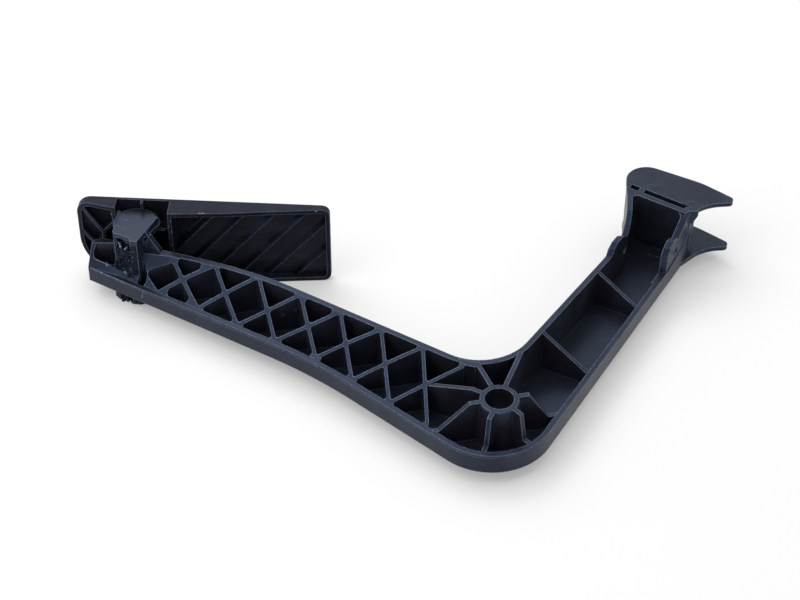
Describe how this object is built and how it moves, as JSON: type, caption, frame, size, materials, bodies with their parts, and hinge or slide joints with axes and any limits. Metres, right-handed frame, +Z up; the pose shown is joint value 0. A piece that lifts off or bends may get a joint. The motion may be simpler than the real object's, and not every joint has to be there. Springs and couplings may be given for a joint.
{
  "type": "accelerator pedal",
  "caption": "L-shaped moulded pedal arm with a diamond-rib leg, a pivot boss, a forked head and a foot pad hinged at its tip.",
  "frame": {"origin": "centre of the pivot bore at the arm's underside", "axes": "+Z up along the pivot bore; the lattice leg runs to -X and +Y, the upper leg to +X and +Y"},
  "size_m": [0.3588, 0.2012, 0.0505],
  "materials": {
    "arm": "satin moulded",
    "foot_pad": "satin moulded"
  },
  "bodies": {
    "arm": {"arm": "arm"},
    "foot_pad": {"foot_pad": "foot_pad"}
  },
  "joints": [
    {"name": "pad_hinge", "type": "hinge", "parent": "arm", "child": "foot_pad", "pos_m": [-0.1925, 0.1242, 0], "axis": [0, 0, 1], "range_deg": [-20, 8]}
  ]
}
